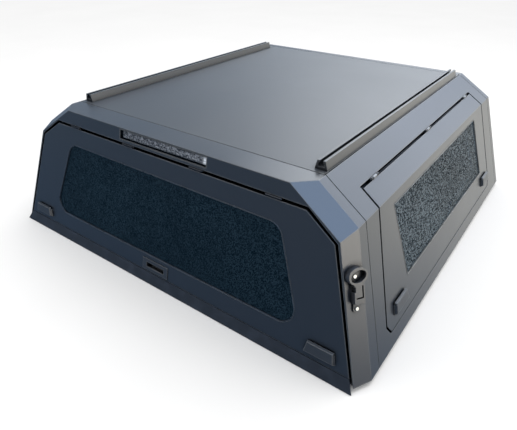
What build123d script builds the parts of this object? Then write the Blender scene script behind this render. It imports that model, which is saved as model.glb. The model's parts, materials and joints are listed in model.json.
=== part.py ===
from build123d import *
import math
import os

# Hard-shell pickup bed canopy: five bolted sheet-steel frames, a lift-up rear glass door,
# two gull-wing side doors, gas struts, roof rails and a clamp-down base.
# Frame: +Y forward (cab), +X right, +Z up, origin at the centre of the base plane,
# which is the underside of the steel base flange. All values are millimetres.

# ---- Driving dimensions: outer form ----------------------------------------------------
SHEET = 1.5
BASE_HALF_WIDTH = 800.0
FOLD_HALF_WIDTH = 671.0
FOLD_HEIGHT = 406.0
ROOF_HALF_WIDTH = 535.0
ROOF_HEIGHT = 494.0
REAR_Y = -760.5
REAR_LEAN = 0.21
FRONT_Y = 760.5
FRONT_LEAN = 0.085
BEVEL_ROOF_X = 479.0
BEVEL_ROOF_Y = -602.0
BEVEL_FOLD_Y = -621.4
PILLAR_BASE_X = 772.0
PILLAR_BASE_Y = -707.5

# ---- Driving dimensions: sheet-metal details -------------------------------------------
REAR_SEAM_Y = -656.7
REAR_SEAM_LEAN = 0.186
FRONT_FRAME_DEPTH = 33.0
SEAM_GAP = 2.5
SEAM_FLANGE = 27.0
BASE_FLANGE = 65.0
EDGE_GAP = 8.0
SILL_GAP = 3.0
HINGE_GAP = 10.0
DOOR_DEPTH = 20.0
DOOR_RING = 45.0
LIP_DEPTH = 32.0
LIP_WIDTH = 25.0
CLAMP_HOLE_X = 748.0
CLAMP_HOLE_Y = 450.0
CLAMP_HOLE_R = 4.5
BOLT_R = 3.9
BOLT_HOLE_R = 4.2

# ---- Driving dimensions: doors and glass -----------------------------------------------
REAR_DOOR_TOP = 437.0
REAR_DOOR_TOP_HALF = 540.0
REAR_DOOR_SHOULDER = 374.0
REAR_DOOR_SHOULDER_HALF = 637.0
REAR_DOOR_BOTTOM = 21.0
REAR_DOOR_BOTTOM_HALF = 754.0
REAR_GLASS_TOP = 375.0
REAR_GLASS_TOP_HALF = 470.0
REAR_GLASS_BOTTOM = 86.0
REAR_GLASS_BOTTOM_HALF = 580.0
SIDE_DOOR_TOP = 443.0
SIDE_DOOR_BOTTOM = 46.0
SIDE_DOOR_REAR_Y = -491.5
SIDE_DOOR_REAR_LEAN = 0.23
SIDE_DOOR_FRONT_Y = 591.0
SIDE_DOOR_FRONT_LEAN = 0.035
SIDE_DOOR_CORNER = 30.0
SIDE_GLASS_TOP = 377.0
SIDE_GLASS_BOTTOM = 140.0
SIDE_GLASS_REAR_TOP_Y = -402.0
SIDE_GLASS_REAR_BOTTOM_Y = -386.0
SIDE_GLASS_FRONT_TOP_Y = 465.0
SIDE_GLASS_FRONT_BOTTOM_Y = 487.0
FRONT_GLASS_HALF = 490.0
FRONT_GLASS_BOTTOM = 135.0
FRONT_GLASS_TOP = 365.0
GLASS_THICKNESS = 4.0
SEAL_THICKNESS = 2.0
SEAL_LAP = 15.0
SEAL_RIM = 3.0

# ---- Driving dimensions: hinges, struts, latches, handles ------------------------------
HINGE_HALF = 25.0
KNUCKLE_R = 4.4
KNUCKLE_HALF = 9.8
HINGE_PIN_R = 2.2
RUNNING_GAP = 0.05
REAR_HINGE_X = (-436.0, -152.0, 152.0, 436.0)
SIDE_HINGE_Y = (-402.0, 60.0, 525.0)
STRUT_TUBE_R = 9.0
STRUT_ROD_R = 4.0
STRUT_PIN_R = 4.0
STRUT_EYE_R = 8.0
STRUT_HALF = 6.0
STRUT_FOOT_DROP = 320.0
STRUT_FOOT_DEPTH = 61.0
STRUT_HEAD_DROP = 115.0
SIDE_STRUT_HEAD_DEPTH = 35.0
REAR_STRUT_HEAD_DEPTH = 44.0
REAR_STRUT_X = 612.0
SIDE_STRUT_FRONT_Y = 550.0
SIDE_STRUT_REAR_Y = -468.0
SIDE_LATCH_Y = (-440.0, 530.0)
SIDE_HANDLE_Y = (-466.0, 530.0)
SIDE_HANDLE_Z = 81.0
REAR_LATCH_Z = 73.0
REAR_HANDLE_X = 657.0
REAR_HANDLE_Z = 40.0
HANDLE_HEIGHT = 40.0
HANDLE_TOP_HALF = 43.0
HANDLE_BOTTOM_HALF = 51.0
HANDLE_THICKNESS = 12.0
HANDLE_WALL = 2.5
HANDLE_TAPER = 20.0
PIVOT_Y = HANDLE_HEIGHT - 9.0
PIVOT_Z = 6.0
LATCH_REACH = 64.0
STRIKER_PIN_INSET = 36.0
STRIKER_PIN_DEPTH = 27.0
PULL_HALF = 61.0
PULL_Z = 28.0
PULL_HEIGHT = 44.0

# ---- Driving dimensions: roof and rear fittings ----------------------------------------
RAIL_X = 508.0
RAIL_REAR_Y = -542.5
RAIL_FRONT_Y = 647.0
RAIL_HEIGHT = 27.0
RAIL_BASE_HALF = 20.0
RAIL_TOP_HALF = 13.0
RAIL_SLOT_HALF = 5.5
RAIL_CAVITY_HALF = 10.0
BOW_Y = (-150.0, 290.0)
LIGHT_HALF = 193.5
LIGHT_Z = 472.5
LIGHT_HALF_HEIGHT = 17.0
LIGHT_PAN_DEPTH = 16.0
GASKET_INSET = 12.0
GASKET_WIDTH = 20.0
GASKET_THICKNESS = 6.0
OPENER_Z = 262.0
OPENER_TURN = 5.6
OPENER_DEPTH = 18.0
OPENER_RING_HALF = (30.0, 25.0)
OPENER_WELL_HALF = (24.0, 16.0)
OPENER_WELL_TURN = 12.0
OPENER_STRAP_WIDTH = 34.0
OPENER_STRAP_LENGTH = 54.0
OPENER_FOOT_R = 11.0
OPENER_GROOVE_WIDTH = 4.0
OPENER_GROOVE_DEPTH = 6.0
OPENER_SCREW_R = 2.7
OPENER_RING_Y = 30.5
OPENER_FLOOR = 3.0
OPENER_TAB_Y = -60.0
OPENER_TAB_DEPTH = 5.0
CABLE_R = 3.0
CABLE_X = 560.0
CABLE_FRONT_Y = 675.0
CABLE_END_Z = 25.0

SPAN = 4000.0
REAR_STRETCH = math.hypot(1, REAR_LEAN)
SIDE_LEAN = (BASE_HALF_WIDTH - FOLD_HALF_WIDTH) / FOLD_HEIGHT
SIDE_STRETCH = math.hypot(1, SIDE_LEAN)
UPPER_LEAN = (FOLD_HALF_WIDTH - ROOF_HALF_WIDTH) / (ROOF_HEIGHT - FOLD_HEIGHT)

# ---- Reference planes: local x along the edge, local y up the panel, local z outward ----
REAR = Plane((0, REAR_Y, 0), x_dir=(1, 0, 0), z_dir=(0, -1, REAR_LEAN))
FRONT = Plane((0, FRONT_Y, 0), x_dir=(-1, 0, 0), z_dir=(0, 1, FRONT_LEAN))
SIDE = Plane((BASE_HALF_WIDTH, 0, 0), x_dir=(0, 1, 0), z_dir=(1, 0, SIDE_LEAN))
UPPER = Plane((FOLD_HALF_WIDTH, 0, FOLD_HEIGHT), x_dir=(0, 1, 0), z_dir=(1, 0, UPPER_LEAN))
ROOF = Plane((0, 0, ROOF_HEIGHT), x_dir=(1, 0, 0), z_dir=(0, 0, 1))
REAR_SEAM = Plane((0, REAR_SEAM_Y, 0), x_dir=(1, 0, 0), z_dir=(0, -1, REAR_SEAM_LEAN))
FRONT_SEAM = FRONT.offset(-FRONT_FRAME_DEPTH)


def through(first, second, third):
    """Plane through three points of the right rear corner, facing outward."""
    normal = (second - first).cross(third - first)
    if normal.X < 0:
        normal = -normal
    upward = (third - first) - normal * ((third - first).dot(normal) / normal.dot(normal))
    return Plane(first, x_dir=upward.cross(normal), z_dir=normal)


ROOF_CORNER = Vector(BEVEL_ROOF_X, REAR_Y + REAR_LEAN * ROOF_HEIGHT, ROOF_HEIGHT)
ROOF_EDGE = Vector(ROOF_HALF_WIDTH, BEVEL_ROOF_Y, ROOF_HEIGHT)
FOLD_EDGE = Vector(FOLD_HALF_WIDTH, BEVEL_FOLD_Y, FOLD_HEIGHT)
FOOT_REAR = Vector(PILLAR_BASE_X, REAR_Y, 0)
FOOT_SIDE = Vector(BASE_HALF_WIDTH, PILLAR_BASE_Y, 0)
BEVEL = through(ROOF_CORNER, ROOF_EDGE, FOLD_EDGE)
PILLAR = through(FOOT_REAR, FOOT_SIDE, FOLD_EDGE)


def inside(plane, depth=0.0):
    """Everything further inward than depth behind a plane."""
    return extrude(plane.offset(-depth) * Rectangle(SPAN, SPAN), amount=-SPAN)


def layer(plane, near, far):
    """The slab between two depths behind a plane."""
    return extrude(plane.offset(-near) * Rectangle(SPAN, SPAN), amount=near - far)


def beyond(plane):
    """Everything on the outward side of a plane."""
    return layer(plane, -SPAN, 0)


def cut_from(plane, outline, near, far):
    """An outline drawn on a plane, made solid between two depths behind it."""
    return extrude(plane.offset(-near) * outline, amount=far - near, dir=-plane.z_dir)


def block(x_range, y_range, z_range):
    """An axis-aligned box from its three ranges."""
    centre = [(low + high) / 2 for low, high in (x_range, y_range, z_range)]
    size = [high - low for low, high in (x_range, y_range, z_range)]
    return Pos(*centre) * Box(*size)


def mirrored(shape):
    return mirror(shape, about=Plane.YZ)


def hull(depth):
    """The canopy's outer form with every face moved inward by depth."""
    floor = 0.0 if depth == 0 else -10.0
    body = block((-900, 900), (-900, 900), (floor, 900))
    for plane in (ROOF, REAR, FRONT):
        body = body & inside(plane, depth)
    for plane in (SIDE, UPPER, BEVEL, PILLAR):
        right = inside(plane, depth)
        body = body & right & mirrored(right)
    return body


OUTER = hull(0)
SHELL = OUTER - hull(SHEET)
SEAM_BAND = OUTER - hull(SEAM_FLANGE)
FOOT_BAND = (OUTER - hull(BASE_FLANGE)) & block((-900, 900), (-900, 900), (0, SHEET))


# ---- Door outlines ---------------------------------------------------------------------
def rear_outline(side_gap, top_gap, foot):
    """Rear door outline in its own plane, grown by the gaps, down to height foot."""
    spread = (REAR_DOOR_BOTTOM_HALF - REAR_DOOR_SHOULDER_HALF) / (REAR_DOOR_SHOULDER - REAR_DOOR_BOTTOM)
    top_half = REAR_DOOR_TOP_HALF + 0.6 * side_gap
    shoulder_half = REAR_DOOR_SHOULDER_HALF + side_gap
    foot_half = shoulder_half + spread * (REAR_DOOR_SHOULDER - foot)
    top = REAR_DOOR_TOP * REAR_STRETCH + top_gap
    shoulder = REAR_DOOR_SHOULDER * REAR_STRETCH + 0.5 * side_gap
    base = foot * REAR_STRETCH
    return Polygon(
        (-top_half, top), (top_half, top), (shoulder_half, shoulder),
        (foot_half, base), (-foot_half, base), (-shoulder_half, shoulder), align=None)


def rear_door_block(grow, near, far):
    return cut_from(REAR, offset(rear_outline(0, 0, REAR_DOOR_BOTTOM), grow, kind=Kind.INTERSECTION), near, far)


def rear_opening_block(grow, near, far):
    """The rear doorway, open down to the base, grown by an amount."""
    return cut_from(REAR, rear_outline(EDGE_GAP + grow, HINGE_GAP + grow, -60), near, far)


def side_edges():
    """Cutting planes along the right door's edges, apart from its top edge."""
    sill = Plane(SIDE.from_local_coords((0, SIDE_DOOR_BOTTOM * SIDE_STRETCH, 0)), z_dir=-SIDE.y_dir)
    rear = Plane((0, SIDE_DOOR_REAR_Y, FOLD_HEIGHT), z_dir=(0, -1, SIDE_DOOR_REAR_LEAN))
    front = Plane((0, SIDE_DOOR_FRONT_Y, FOLD_HEIGHT), z_dir=(0, 1, SIDE_DOOR_FRONT_LEAN))
    height = SIDE_DOOR_BOTTOM + SIDE_DOOR_CORNER
    rear_y = SIDE_DOOR_REAR_Y - SIDE_DOOR_REAR_LEAN * (FOLD_HEIGHT - height)
    front_y = SIDE_DOOR_FRONT_Y + SIDE_DOOR_FRONT_LEAN * (FOLD_HEIGHT - height)
    rear_corner = Plane((0, rear_y, height), z_dir=(0, -1, -0.7))
    front_corner = Plane((0, front_y, height), z_dir=(0, 1, -0.7))
    return sill, rear, front, rear_corner, front_corner


def side_door_top():
    """Point on the upper facet where the right door's top edge lies."""
    rise = (SIDE_DOOR_TOP - FOLD_HEIGHT) * math.hypot(1, UPPER_LEAN)
    return UPPER.from_local_coords((0, rise, 0))


def side_region(edge_gap, top_gap, sill_gap):
    """Space taken by the right door, grown by the gaps at its edges."""
    sill, *others = side_edges()
    region = block((350, 900), (-900, 900), (-50, 600)) & inside(sill, -sill_gap)
    region = region & inside(Plane(side_door_top(), z_dir=UPPER.y_dir), -top_gap)
    for plane in others:
        region = region & inside(plane, -edge_gap)
    return region


def side_door_region(grow):
    """The right door's own outline, grown by an amount all round."""
    return side_region(grow, grow, grow)


def side_opening(grow):
    """The right doorway, grown by an amount."""
    return side_region(EDGE_GAP + grow, HINGE_GAP + grow, SILL_GAP + grow)


def side_lip_opening():
    """Space left clear inside the lip around the right doorway."""
    edge = EDGE_GAP - LIP_WIDTH
    return side_region(edge, HINGE_GAP - LIP_WIDTH, edge)


# ---- Window outlines -------------------------------------------------------------------
def rear_window(grow):
    outline = Polygon(
        (-REAR_GLASS_TOP_HALF, REAR_GLASS_TOP * REAR_STRETCH),
        (REAR_GLASS_TOP_HALF, REAR_GLASS_TOP * REAR_STRETCH),
        (REAR_GLASS_BOTTOM_HALF, REAR_GLASS_BOTTOM * REAR_STRETCH),
        (-REAR_GLASS_BOTTOM_HALF, REAR_GLASS_BOTTOM * REAR_STRETCH), align=None)
    rounded = fillet(outline.vertices(), 52)
    return offset(rounded, grow, kind=Kind.ARC)


def side_window(grow):
    outline = Polygon(
        (SIDE_GLASS_REAR_TOP_Y, SIDE_GLASS_TOP * SIDE_STRETCH),
        (SIDE_GLASS_FRONT_TOP_Y, SIDE_GLASS_TOP * SIDE_STRETCH),
        (SIDE_GLASS_FRONT_BOTTOM_Y, SIDE_GLASS_BOTTOM * SIDE_STRETCH),
        (SIDE_GLASS_REAR_BOTTOM_Y, SIDE_GLASS_BOTTOM * SIDE_STRETCH), align=None)
    return offset(outline, grow, kind=Kind.INTERSECTION)


def front_window(grow):
    middle = (FRONT_GLASS_TOP + FRONT_GLASS_BOTTOM) / 2
    height = FRONT_GLASS_TOP - FRONT_GLASS_BOTTOM
    return Pos(0, middle) * RectangleRounded(2 * (FRONT_GLASS_HALF + grow), height + 2 * grow, 40 + grow)


def pane(plane, window, grow, near, far):
    """A window outline made solid between two depths behind its panel."""
    return cut_from(plane, window(grow), near, far)


def glass_pane(plane, window):
    near = SHEET + SEAL_THICKNESS
    return pane(plane, window, SEAL_LAP - 2, near, near + GLASS_THICKNESS)


def glass_seal(plane, window):
    """Rubber strip between a panel and its glass, with a rim showing inside the opening."""
    far = SHEET + SEAL_THICKNESS
    strip = pane(plane, window, SEAL_LAP, SHEET, far)
    return strip - pane(plane, window, -SEAL_RIM, 0, far + 1)


# ---- Bolted seams ----------------------------------------------------------------------
def seam_points(seam):
    """Places along a frame seam where a bolt joins two flanges, on the right and the roof."""
    points = []
    for height in (110.0, 235.0):
        anchor = SIDE.from_local_coords((0, height * SIDE_STRETCH, -14))
        points.append(anchor)
    points.append(UPPER.from_local_coords((0, 45, -14)))
    points.append(Vector(240, 0, ROOF_HEIGHT - 14))
    placed = []
    for point in points:
        shift = (seam.origin - point).dot(seam.z_dir) / seam.z_dir.Y
        placed.append(point + Vector(0, shift, 0))
    return [Plane(point, z_dir=seam.z_dir) for point in placed]


def bolt_planes():
    """Every frame bolt's plane, centred in the gap between its two flanges."""
    half_gap = SEAM_GAP / 2
    right = seam_points(REAR_SEAM.offset(-half_gap)) + seam_points(FRONT_SEAM.offset(-half_gap))
    side_x = ROOF_HALF_WIDTH - SHEET - half_gap
    for y in (-330.0, 60.0, 430.0):
        right.append(Plane((side_x, y, ROOF_HEIGHT - 16), z_dir=(1, 0, 0)))
    return right


def both_sides(shapes):
    return [shape for right in shapes for shape in (right, mirrored(right))]


def seam_holes():
    return both_sides([plane * Cylinder(BOLT_HOLE_R, 12) for plane in bolt_planes()])


def frame_bolts():
    """Hex-flange bolts and nuts that hold the five frames together."""
    grip = SHEET + SEAM_GAP / 2
    bolts = []
    for plane in bolt_planes():
        shank = Cylinder(BOLT_R, 2 * grip + 4)
        head = Pos(0, 0, grip + 2) * extrude(RegularPolygon(6.5, 6), amount=2, both=True)
        nut = Pos(0, 0, -grip - 2) * extrude(RegularPolygon(6.5, 6), amount=2, both=True)
        bolts.append(plane * (shank + head + nut))
    return Compound(children=both_sides(bolts))


# ---- Frames ----------------------------------------------------------------------------
def light_cutout():
    outline = Pos(0, LIGHT_Z * REAR_STRETCH) * Rectangle(2 * LIGHT_HALF + 1, 2 * LIGHT_HALF_HEIGHT + 1)
    return cut_from(REAR, outline, -5, 30)


def rear_frame():
    """Header and two rear pillars around the rear doorway."""
    doorway = rear_opening_block(0, -5, LIP_DEPTH + 30)
    rim = rear_opening_block(SHEET, 0, LIP_DEPTH) - doorway
    lip = rear_opening_block(SHEET, LIP_DEPTH - SHEET, LIP_DEPTH)
    lip = lip - rear_opening_block(-LIP_WIDTH, 0, LIP_DEPTH + 5)
    lining = (rim + lip) & OUTER
    skin = (SHELL & beyond(REAR_SEAM)) - doorway
    flange = SEAM_BAND & layer(REAR_SEAM, -SHEET, 0)
    feet = FOOT_BAND & beyond(REAR_SEAM)
    feet = feet - rear_opening_block(0, -50, 150)
    body = skin + lining + flange + feet
    for hole in [light_cutout()] + seam_holes():
        body = body - hole
    return body


def front_frame():
    """Cab-side panel with its window opening and short returns."""
    body = SHELL & beyond(FRONT_SEAM)
    body = body + (SEAM_BAND & layer(FRONT_SEAM, -SHEET, 0))
    body = body + (FOOT_BAND & beyond(FRONT_SEAM))
    body = body - pane(FRONT, front_window, 0, -5, 30)
    for hole in seam_holes():
        body = body - hole
    return body


def between_seams():
    """Length of the canopy between the rear and front frames."""
    return inside(REAR_SEAM, SEAM_GAP) & inside(FRONT_SEAM, SEAM_GAP)


def clamp_holes():
    return [Pos(CLAMP_HOLE_X, y, 0) * Cylinder(CLAMP_HOLE_R, 12) for y in (-CLAMP_HOLE_Y, 0, CLAMP_HOLE_Y)]


def right_side_frame():
    """Side wall around the right doorway, with its sill, posts and bed-rail flange."""
    side = between_seams() & block((ROOF_HALF_WIDTH - SHEET, 900), (-900, 900), (-5, 900))
    doorway = side_opening(0)
    rim_band = OUTER - hull(LIP_DEPTH)
    lip_band = hull(LIP_DEPTH - SHEET) - hull(LIP_DEPTH)
    skin = (SHELL & side) - doorway
    rim = rim_band & (side_opening(SHEET) - doorway)
    lip = lip_band & (side_opening(SHEET) - side_lip_opening())
    top = block((ROOF_HALF_WIDTH - SHEET, ROOF_HALF_WIDTH), (-900, 900), (ROOF_HEIGHT - SEAM_FLANGE, 900))
    roof_flange = OUTER & side & top
    rear_flange = SEAM_BAND & side & layer(REAR_SEAM, SEAM_GAP, SEAM_GAP + SHEET)
    front_flange = SEAM_BAND & side & layer(FRONT_SEAM, SEAM_GAP, SEAM_GAP + SHEET)
    body = skin + rim + lip + roof_flange + rear_flange + front_flange + (FOOT_BAND & side)
    for hole in clamp_holes() + seam_holes():
        body = body - hole
    return body


def roof_panel():
    """Flat roof sheet with its four edges folded down."""
    half = ROOF_HALF_WIDTH - SHEET - SEAM_GAP
    slab = between_seams() & OUTER & block((-half, half), (-900, 900), (ROOF_HEIGHT - SEAM_FLANGE, 900))
    cut = inside(REAR_SEAM, SEAM_GAP + SHEET) & inside(FRONT_SEAM, SEAM_GAP + SHEET)
    cut = cut & block((SHEET - half, half - SHEET), (-900, 900), (0, ROOF_HEIGHT - SHEET))
    body = slab - cut
    for hole in seam_holes() + rail_screw_holes():
        body = body - hole
    return body


# ---- Roof fittings ---------------------------------------------------------------------
def rail_screw_spots():
    step = (RAIL_FRONT_Y - RAIL_REAR_Y) / 5
    return [(RAIL_X, RAIL_REAR_Y + step * (number + 0.5)) for number in range(5)]


def rail_screw_holes():
    return both_sides([Pos(x, y, ROOF_HEIGHT) * Cylinder(3.3, 24) for x, y in rail_screw_spots()])


def right_roof_rail():
    """T-slot channel along the roof's right edge."""
    outline = Polygon(
        (-RAIL_BASE_HALF, 0), (RAIL_BASE_HALF, 0),
        (RAIL_TOP_HALF, RAIL_HEIGHT), (-RAIL_TOP_HALF, RAIL_HEIGHT), align=None)
    cavity = Pos(0, 14) * Rectangle(2 * RAIL_CAVITY_HALF, 12)
    slot = Pos(0, 25) * Rectangle(2 * RAIL_SLOT_HALF, 14)
    section = outline - cavity - slot
    length = RAIL_FRONT_Y - RAIL_REAR_Y
    base = Plane((RAIL_X, RAIL_FRONT_Y, ROOF_HEIGHT), x_dir=(1, 0, 0), z_dir=(0, -1, 0))
    rail = extrude(base * section, amount=length)
    for hole in rail_screw_holes():
        rail = rail - hole
    return rail


def rail_screws():
    """Pan-head screws and nuts that hold both roof rails down through the roof."""
    screws = []
    for x, y in rail_screw_spots():
        shank = Pos(0, 0, 1) * Cylinder(3, 14)
        head = Pos(0, 0, 10) * Cylinder(5.5, 4)
        nut = Pos(0, 0, -4) * Cylinder(5.5, 5)
        screws.append(Pos(x, y, ROOF_HEIGHT) * (shank + head + nut))
    return both_sides(screws)


def roof_bows():
    """Two box-section bows under the roof sheet."""
    half = ROOF_HALF_WIDTH - 60
    bows = []
    for y in BOW_Y:
        top = ROOF_HEIGHT - SHEET
        tube = block((-half, half), (y - 20, y + 20), (top - 25, top))
        bore = block((-half - 1, half + 1), (y - 18.5, y + 18.5), (top - 23.5, top - 1.5))
        bows.append(tube - bore)
    return Compound(children=bows)


# ---- Rear fittings ---------------------------------------------------------------------
def light_bar(half, half_height, near, far):
    outline = Pos(0, LIGHT_Z * REAR_STRETCH) * Rectangle(2 * half, 2 * half_height)
    return cut_from(REAR, outline, near, far)


def brake_light_housing():
    pan = light_bar(LIGHT_HALF, LIGHT_HALF_HEIGHT, 0, LIGHT_PAN_DEPTH)
    return pan - light_bar(LIGHT_HALF - 2, LIGHT_HALF_HEIGHT - 2, -1, LIGHT_PAN_DEPTH - 2)


def brake_light_lens():
    return light_bar(LIGHT_HALF - 2.5, LIGHT_HALF_HEIGHT - 4, 2.5, 8.5)


def opener_plane():
    """Plane on the right rear pillar facet at the middle of the bottle opener."""
    side_edge = FOOT_SIDE + (FOLD_EDGE - FOOT_SIDE) * (OPENER_Z / FOLD_HEIGHT)
    facet_half = (FOOT_SIDE - FOOT_REAR).length / 2
    local = PILLAR.to_local_coords(side_edge)
    middle = PILLAR.from_local_coords((local.X - facet_half, local.Y, 0))
    return Plane(middle, x_dir=PILLAR.x_dir, z_dir=PILLAR.z_dir) * Rot(0, 0, OPENER_TURN)


def opener_screw_heights():
    return OPENER_RING_Y - 2.5, OPENER_TAB_Y


def bottle_opener():
    """Wall-mounted opener: deep oval ring, thick strap with a hooked corner groove, foot tab."""
    ring = Pos(2, OPENER_RING_Y) * Ellipse(*OPENER_RING_HALF)
    strap = Pos(4, -18) * RectangleRounded(OPENER_STRAP_WIDTH, OPENER_STRAP_LENGTH, 3)
    body = extrude(ring + strap, amount=OPENER_DEPTH, taper=3)
    foot = Pos(0, OPENER_TAB_Y) * Circle(OPENER_FOOT_R) + Pos(1, -51) * Rectangle(2 * OPENER_FOOT_R, 18)
    body = body + extrude(foot, amount=OPENER_TAB_DEPTH)
    well = Pos(3, OPENER_RING_Y) * Rot(0, 0, OPENER_WELL_TURN) * Ellipse(*OPENER_WELL_HALF)
    cap_notch = Pos(-12, -3) * Rectangle(8, 15)
    body = body - extrude(Pos(0, 0, OPENER_FLOOR) * (well + cap_notch), amount=OPENER_DEPTH)
    upright = Pos(13.5, -12) * Rectangle(OPENER_GROOVE_WIDTH, 34)
    level = Pos(4, -28) * Rectangle(23, OPENER_GROOVE_WIDTH)
    floor = Pos(0, 0, OPENER_DEPTH - OPENER_GROOVE_DEPTH)
    body = body - extrude(floor * (upright + level), amount=OPENER_DEPTH)
    for y in opener_screw_heights():
        body = body - Pos(0, y, 0) * Cylinder(OPENER_SCREW_R, 20)
    return opener_plane() * body


def opener_screws():
    screws = []
    for y, seat in zip(opener_screw_heights(), (OPENER_FLOOR, OPENER_TAB_DEPTH)):
        head = Pos(0, y, seat + 1.6) * Cylinder(5, 3.2)
        shank = Pos(0, y, seat / 2) * Cylinder(2.5, seat)
        screws.append(opener_plane() * (head + shank))
    return screws


def brake_light_cable():
    """Insulated lead from the light, forward under the roof and down beside the front window."""
    height = LIGHT_Z * REAR_STRETCH
    start = REAR.from_local_coords((0, height, -LIGHT_PAN_DEPTH))
    bend = REAR.from_local_coords((0, height, -LIGHT_PAN_DEPTH - 44))
    corner = Vector(0, CABLE_FRONT_Y, bend.Z)
    drop = Vector(CABLE_X, CABLE_FRONT_Y, bend.Z)
    end = Vector(CABLE_X, CABLE_FRONT_Y, CABLE_END_Z)
    spine = FilletPolyline(start, bend, corner, drop, end, radius=15)
    return sweep(Plane(spine @ 0, z_dir=spine % 0) * Circle(CABLE_R), path=spine)


def base_gasket():
    """Foam strip under the base flange along both sides and the front."""
    feet = [FOOT_REAR, FOOT_SIDE, Vector(BASE_HALF_WIDTH, FRONT_Y, 0)]
    right = [(point.X, point.Y) for point in feet]
    left = [(-x, y) for x, y in reversed(right)]
    outline = Polygon(*(right + left), align=None)
    ring = offset(outline, -GASKET_INSET, kind=Kind.INTERSECTION)
    ring = ring - offset(outline, -GASKET_INSET - GASKET_WIDTH, kind=Kind.INTERSECTION)
    ring = ring - Pos(0, REAR_Y) * Rectangle(2 * PILLAR_BASE_X - 60, 120)
    return extrude(ring, amount=-GASKET_THICKNESS)


# ---- Doorway seals ---------------------------------------------------------------------
def rear_opening_seal():
    near = DOOR_DEPTH + 0.5
    far = LIP_DEPTH - SHEET
    ring = rear_opening_block(-3, near, far) - rear_opening_block(-15, near - 1, far + 1)
    return ring & block((-900, 900), (-900, 0), (3, 900))


def right_opening_seal():
    band = hull(DOOR_DEPTH + 0.5) - hull(LIP_DEPTH - SHEET)
    return band & (side_opening(-3) - side_opening(-15))


# ---- Hinges: local x along the pin, y up the panel, z outward ---------------------------
def knuckle(low, high):
    barrel = Cylinder(KNUCKLE_R, high - low) - Cylinder(HINGE_PIN_R + RUNNING_GAP, high - low + 2)
    return Pos((low + high) / 2, 0, 0) * Rot(0, 90, 0) * barrel


def turning_room(low, high):
    return Pos((low + high) / 2, 0, 0) * Rot(0, 90, 0) * Cylinder(KNUCKLE_R + 0.6, high - low)


def frame_leaf():
    """Fixed leaf: plate on the doorway's upper rim with the two outer knuckles."""
    edge = HINGE_GAP / 2
    inner = KNUCKLE_HALF + 0.4
    plate = block((-HINGE_HALF, HINGE_HALF), (edge - 2, edge), (-26, 0))
    plate = plate - turning_room(-inner, inner) - turning_room(-HINGE_HALF, HINGE_HALF)
    bridge = block((inner, HINGE_HALF), (2.5, edge), (-6, 0))
    bridge = bridge - Rot(0, 90, 0) * Cylinder(HINGE_PIN_R + 1, 120)
    right = knuckle(inner, HINGE_HALF) + bridge
    return plate + right + mirror(right, about=Plane.YZ)


def door_leaf():
    """Moving leaf: plate on the door's top edge with the centre knuckle."""
    edge = HINGE_GAP / 2
    plate = block((-HINGE_HALF, HINGE_HALF), (-edge, 2 - edge), (-16, 0))
    plate = plate - turning_room(-HINGE_HALF - 1, -KNUCKLE_HALF) - turning_room(KNUCKLE_HALF, HINGE_HALF + 1)
    return plate + knuckle(-KNUCKLE_HALF, KNUCKLE_HALF)


def hinge_pin():
    return Rot(0, 90, 0) * Cylinder(HINGE_PIN_R, 2 * HINGE_HALF + 3)


def rear_hinge_planes():
    height = REAR_DOOR_TOP * REAR_STRETCH + HINGE_GAP / 2
    axis = Plane(REAR.from_local_coords((0, height, 0)), x_dir=REAR.x_dir, z_dir=REAR.z_dir)
    return [axis * Pos(x, 0, 0) for x in REAR_HINGE_X]


def side_hinge_planes():
    origin = side_door_top() + UPPER.y_dir * (HINGE_GAP / 2)
    axis = Plane(origin, x_dir=UPPER.x_dir, z_dir=UPPER.z_dir)
    return [axis * Pos(y, 0, 0) for y in SIDE_HINGE_Y]


def hinge_set(places, piece):
    return [place * piece for place in places]


# ---- Gas struts ------------------------------------------------------------------------
def strut_ends(panel, height, along, head_depth):
    """Frame pivot and door pivot of one strut, in the canopy's frame."""
    foot = panel.from_local_coords((along, height - STRUT_FOOT_DROP, -STRUT_FOOT_DEPTH))
    head = panel.from_local_coords((along, height - STRUT_HEAD_DROP, -head_depth))
    return foot, head


def rear_strut_ends(along):
    hinge_height = REAR_DOOR_TOP * REAR_STRETCH + HINGE_GAP / 2
    return strut_ends(REAR, hinge_height, along, REAR_STRUT_HEAD_DEPTH)


def side_strut_ends(along):
    hinge_height = SIDE_DOOR_TOP * SIDE_STRETCH + HINGE_GAP / 2
    return strut_ends(SIDE, hinge_height, along, SIDE_STRUT_HEAD_DEPTH)


def strut_plane(panel, ends):
    """Plane at the frame pivot: local x along the pivot pin, local z up the strut."""
    foot, head = ends
    return Plane(foot, x_dir=panel.x_dir, z_dir=head - foot)


def strut_length(ends):
    foot, head = ends
    return (head - foot).length


def eye(radius, bore):
    ring = Rot(0, 90, 0) * Cylinder(radius, 2 * STRUT_HALF)
    return ring - Rot(0, 90, 0) * Cylinder(bore, 2 * STRUT_HALF + 2)


def strut_tube(panel, ends):
    """Pressure tube with its lower eye, closed foot and upper gland."""
    top = strut_length(ends) - 24
    neck = Pos(0, 0, 14) * Cylinder(5, 16)
    barrel = Pos(0, 0, (22 + top) / 2) * Cylinder(STRUT_TUBE_R, top - 22)
    chamber = Pos(0, 0, (24 + top - 12) / 2) * Cylinder(STRUT_TUBE_R - 1.4, top - 36)
    gland = Pos(0, 0, top) * Cylinder(STRUT_ROD_R + RUNNING_GAP, 30)
    pivot = Rot(0, 90, 0) * Cylinder(STRUT_PIN_R + RUNNING_GAP, 40)
    body = neck + barrel + eye(STRUT_EYE_R, STRUT_PIN_R + RUNNING_GAP) - chamber - gland - pivot
    return strut_plane(panel, ends) * body


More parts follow.
